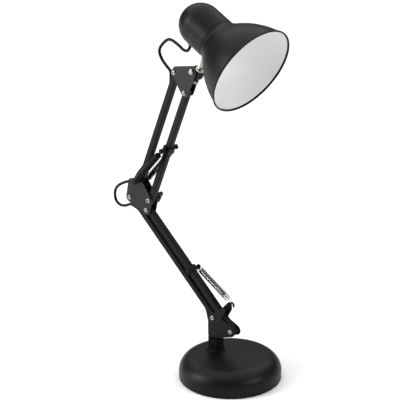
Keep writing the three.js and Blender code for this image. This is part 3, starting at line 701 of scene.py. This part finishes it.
def wing_knob():
    """Moulded wing nut: a tapered hub with two rounded wings, smoothed as one body."""
    turn = Matrix.Translation(in_plane(UPPER_FRONT) * MM) @ Matrix.Rotation(KNOB_TURN, 4, "Y")
    wing_out, voxel, bolt_hole = 5.6, 0.45, 2.7
    build = bmesh.new()

    def solid(size, centre, taper=1.0):
        """Add a block, its far end wider or narrower by the taper."""
        made = bmesh.ops.create_cube(build, size=1.0)["verts"]
        for v in made:
            grow = taper if v.co.y > 0 else 1.0
            v.co = Vector((v.co.x * size[0], v.co.y * size[1], v.co.z * size[2] * grow)) + Vector(centre)

    for side in (-1, 1):
        solid((4.4, 11.4, 7.0), (0, 14.6, wing_out * side))
        solid((4.4, 8.4, 10.0), (0, 15.0, wing_out * side))
    solid((10.2, 6.0, 10.2), (0, 11.3, 0), 0.86)
    for v in build.verts:
        v.co = turn @ (v.co * MM)
    mesh = bpy.data.meshes.new("mid_knob_moulded")
    build.to_mesh(mesh)
    build.free()
    obj = keep("mid_knob_moulded", mesh, black_plastic)
    remesh = obj.modifiers.new("join", "REMESH")
    remesh.mode = "VOXEL"
    remesh.voxel_size = voxel * MM
    soften = obj.modifiers.new("soften", "SMOOTH")
    soften.iterations = 14
    soften.factor = 0.6
    apply_modifiers(obj)
    bore = [(0, 0), (bolt_hole, 0), (bolt_hole, 40), (0, 40)]
    cut_with(obj, lathe("bore", bore, across(UPPER_FRONT), black_plastic, 32))
    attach(obj, "wing_knob")
    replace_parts(obj, "mid_knob")


wing_knob()

# ---- springs ----
WIRE, COIL, PITCH, HOOK_RADIUS = 0.55, 3.4, 1.32, 3.5
HOOK_SWEEP = math.radians(216)
TURN_STEPS = 16  # path points in a turn of the coil, and in a hook
SLEEVE_BORE, SLEEVE_OUTER, SLEEVE_LIP = 4.4, 5.0, 0.25


def spring_path(start, end, coil_from, coil_to, threaded=()):
    """Centre line of a close-wound spring: a hook at its start, and a hook or a threaded tip at its end."""
    axis = (end - start).normalized()
    length = (end - start).length
    over = Vector((0, 1, 0)).cross(axis).normalized()
    side = axis.cross(over)

    def at(along, u, v=0.0):
        """A point so far along the spring, and so far off its axis."""
        return start + axis * along + over * u + side * v

    hook = [HOOK_SWEEP * i / TURN_STEPS for i in range(TURN_STEPS + 1)]
    path = [at(HOOK_RADIUS * math.cos(a), HOOK_RADIUS * math.sin(a)) for a in reversed(hook)]
    rise = [path[-1], at(HOOK_RADIUS + 2.0, 1.0), at(coil_from - 1.4, COIL * 0.9), at(coil_from, COIL)]
    path += spline(rise, 4)[1:]
    steps = round((coil_to - coil_from) / PITCH) * TURN_STEPS
    for i in range(1, steps + 1):
        turn = 2 * math.pi * i / TURN_STEPS
        along = coil_from + (coil_to - coil_from) * i / steps
        path.append(at(along, COIL * math.cos(turn), COIL * math.sin(turn)))
    if threaded:
        path += spline([at(coil_to, COIL), at(coil_to + 1.2, COIL * 0.7), at(coil_to + 4, 0), *threaded], 8)[1:]
    else:
        path += spline([at(coil_to, COIL), at(coil_to + 1.2, 1.2), at(length - HOOK_RADIUS, 0)], 4)[1:]
        path += [at(length - HOOK_RADIUS * math.cos(a), -HOOK_RADIUS * math.sin(a)) for a in hook[1:]]
    return path


def spring_sleeve(name, start, end, span, material):
    """A tube round a spring, with rounded lips and enough rings along it to bend."""
    axis = (end - start).normalized()
    matrix = Matrix.Translation(start * MM) @ Vector((0, 0, 1)).rotation_difference(axis).to_matrix().to_4x4()
    wall = [
        (SLEEVE_BORE, span[0]), (SLEEVE_OUTER, span[0], SLEEVE_LIP), (SLEEVE_OUTER, span[1], SLEEVE_LIP),
        (SLEEVE_BORE, span[1], SLEEVE_LIP), (SLEEVE_BORE, span[0]),
    ]
    ring_gap = 4
    points = rounded(wall, 3)
    dense = []
    for a, b in zip(points, points[1:]):
        parts = max(1, round((b - a).length / ring_gap))
        dense += [a.lerp(b, k / parts) for k in range(parts)]
    return lathe(name, [*dense, points[-1]], matrix, material, 40)


def sprung(level, label, start, end, coil, tip, span, coat, slot):
    """One spring and its sleeve between two points; the coil and the sleeve cover the stated spans of its
    length.
    """
    wire = tube(f"{level}_coil_{label}", spring_path(start, end, *coil, tip), WIRE, spring_steel, 8)
    jacket = spring_sleeve(f"{level}_jacket_{label}", start, end, span, coat)
    suffix = "" if level == "lower" else f"_{label}"
    for piece, node, piece_slot in (
        (wire, f"{level}_spring{suffix}", "bright_nickel"),
        (jacket, f"{level}_spring_sleeve{suffix}", slot),
    ):
        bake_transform(piece)
        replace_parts(piece, node)


def lower_spring():
    """The one lower spring, from its clip to the eye in the bracket's ear."""
    eye = in_plane(HOOK, PLATE_OUTER + 1.4)
    clip = in_plane(on_arm(LOWER_FRONT, LOWER_LEAN, LOWER_CLIP), SPRING_SIDE)
    through = (eye + Vector((-1.2, 0, 0.8)), eye + Vector((0.2, -0.9, -0.2)), eye + Vector((0, -2.8, 0)))
    sprung(
        "lower", "far", clip, eye,
        coil=(8, 68), tip=through, span=(5, 77), coat=clear_tube, slot="clear_plastic",
    )


def upper_springs():
    """The two upper springs, from the pin at the middle joint to the clip, one on each side of the arm."""
    clip = on_arm(UPPER_FRONT, UPPER_LEAN, UPPER_CLIP)
    for label, y, coat, slot in (
        ("near", -SPRING_SIDE, sleeve_black, "black_plastic"),
        ("far", SPRING_SIDE, clear_tube, "clear_plastic"),
    ):
        sprung(
            "upper", label, in_plane(UPPER_REAR, y), in_plane(clip, y),
            coil=(8, 76), tip=(), span=(5, 79), coat=coat, slot=slot,
        )


lower_spring()
upper_springs()

# ---- head ----
# The shade's outline: radius, and distance back from the rim.
BELL = [
    (RIM_RADIUS, 0), (69.6, 6), (67.8, 12), (65.1, 20), (61.5, 28), (57.6, 36), (52.9, 44), (47.3, 52),
    (41.1, 60), (35.5, 68), (33, NECK_BACK),
]
SHEET = 1.1
BEAD = 1.3  # radius of the rolled rim
NECK_HOLE = 20.4
CAP_WALL = 1.5


def bell_line(inset=0.0):
    """The shade's outline from the rim back to the neck, moved inwards by so much."""
    line = spline([Vector(p) for p in BELL], 6)
    out = []
    for i, p in enumerate(line):
        along = (line[min(i + 1, len(line) - 1)] - line[max(i - 1, 0)]).normalized()
        out.append(Vector((p.x - along.y * inset, -(p.y + along.x * inset))))
    return out


def lamp_shade():
    """Spun bell: black outside with a rolled rim and an in-turned neck, and a white enamel lining."""
    roll = [
        Vector((RIM_RADIUS + 0.1 + BEAD * math.cos(a), 0.9 + BEAD * math.sin(a)))
        for a in (math.radians(-70 + 25 * i) for i in range(11))
    ]
    neck_out, neck_in = -NECK_BACK - 0.5, -NECK_BACK + 0.2
    neck = [
        Vector((32.4, neck_out)), Vector((NECK_HOLE, neck_out)), Vector((NECK_HOLE, neck_in)),
        Vector((31.0, neck_in)),
    ]
    under = bell_line(SHEET / 2)
    profile = [*reversed(neck), *reversed(bell_line()[1:]), *roll, *under[1:-2], neck[-1]]
    shell = lathe("shade_shell", profile, HEAD @ ALONG_X, shade_black, 192, 50)

    def within(inset, least):
        """The outline at an inset, between the rim's roll and a least radius."""
        return [p for p in bell_line(inset) if p.y < -0.5 and p.x > least]

    lining_in, lining_out = -NECK_BACK + 1.0, -NECK_BACK + 0.4
    lining_hole = NECK_HOLE + 0.2
    skin = [
        *within(SHEET, 31.5), Vector((30.6, lining_in)), Vector((lining_hole, lining_in)),
        Vector((lining_hole, lining_out)), Vector((31.2, lining_out)), *reversed(within(0.7, 31.8)),
    ]
    inside = lathe("shade_lining", [*skin, skin[0]], HEAD @ ALONG_X, white_enamel, 192, 50)
    for obj, slot in ((shell, "satin_black"), (inside, "white_enamel")):
        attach(obj, "lamp_head")
        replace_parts(obj, "lamp_shade")


lamp_shade()


def socket_cap():
    """Drawn cup with a rounded end, its mouth over the shade's neck."""
    mouth, depth = -NECK_BACK - 0.7, CAP_END - CAP_DOME
    dome_radius = CAP_RADIUS - 0.2
    waist = -100  # between the mouth and the dome

    def dome(radius, reach):
        """The cap's rounded end, from its side to the axis."""
        angles = (math.pi / 2 * i / 20 for i in range(21))
        return [(radius * math.cos(a), -CAP_DOME - reach * math.sin(a)) for a in angles]

    profile = [
        *reversed(dome(dome_radius, depth)), (CAP_RADIUS - 0.1, waist), (CAP_RADIUS, mouth - 3),
        (CAP_RADIUS, mouth - 0.1), (CAP_RADIUS - 0.1, mouth), (CAP_RADIUS - CAP_WALL, mouth),
        (CAP_RADIUS - CAP_WALL, waist), *dome(dome_radius - CAP_WALL, depth - CAP_WALL),
    ]
    obj = lathe("cap_shell", profile, HEAD @ ALONG_X, shade_black, 144, 50)
    for back, radius in ((STRAP_RIVET, 2.0), (GLAND_BACK, 3.9)):
        place = HEAD @ Matrix.Translation((-back * MM, 0, 0))
        drill = [(0, -50), (radius, -50), (radius, -20), (0, -20)]
        cut_with(obj, lathe("drill", drill, place, shade_black, 32))
    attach(obj, "lamp_head")
    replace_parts(obj, "socket_cap")


socket_cap()


# ---- floor and light ----
def floor():
    """A wide, matt, nearly white floor with no shine."""
    made, tree, shader = nodes_of("floor")
    drift = noise_node(tree, 1.2, 2)
    tree.links.new(mix_colour(tree, drift, (0.87, 0.87, 0.87), (0.89, 0.89, 0.89)), shader.inputs["Base Color"])
    shader.inputs["Roughness"].default_value = 0.9
    shader.inputs["Specular IOR Level"].default_value = 0.0
    half = 30.0
    mesh = bpy.data.meshes.new("floor")
    corners = [(-half, -half, 0), (half, -half, 0), (half, half, 0), (-half, half, 0)]
    mesh.from_pydata(corners, [], [(0, 1, 2, 3)])
    keep("floor", mesh, made)


floor()


def area_light(name, place, target, size, power):
    """A rectangular light aimed at a point; metres and watts."""
    data = bpy.data.lights.new(name, "AREA")
    data.shape = "RECTANGLE"
    data.size, data.size_y = size
    data.energy = power
    obj = bpy.data.objects.new(name, data)
    bpy.context.scene.collection.objects.link(obj)
    obj.location = place
    obj.rotation_euler = (Vector(target) - Vector(place)).to_track_quat("-Z", "Y").to_euler()


area_light("key", (-1.5, -2.0, 1.5), (-0.1, 0, 0.45), (1.2, 1.4), 62)
area_light("card", (-1.15, -1.05, 0.22), (-0.1, 0, 0.35), (1.0, 0.4), 4)
area_light("top", (-1.2, 1.2, 3.2), (-1.0, 1.0, 0), (6.0, 6.0), 200)
area_light("fill", (1.4, 0.3, 0.85), (0, 0, 0.5), (0.8, 0.6), 10)

world = bpy.data.worlds.new("studio")
bpy.context.scene.world = world
world.use_nodes = True
world.node_tree.nodes["Background"].inputs["Color"].default_value = (1, 1, 1, 1)
world.node_tree.nodes["Background"].inputs["Strength"].default_value = 0.15
bpy.context.scene.view_settings.view_transform = "Standard"

bpy.context.view_layer.update()
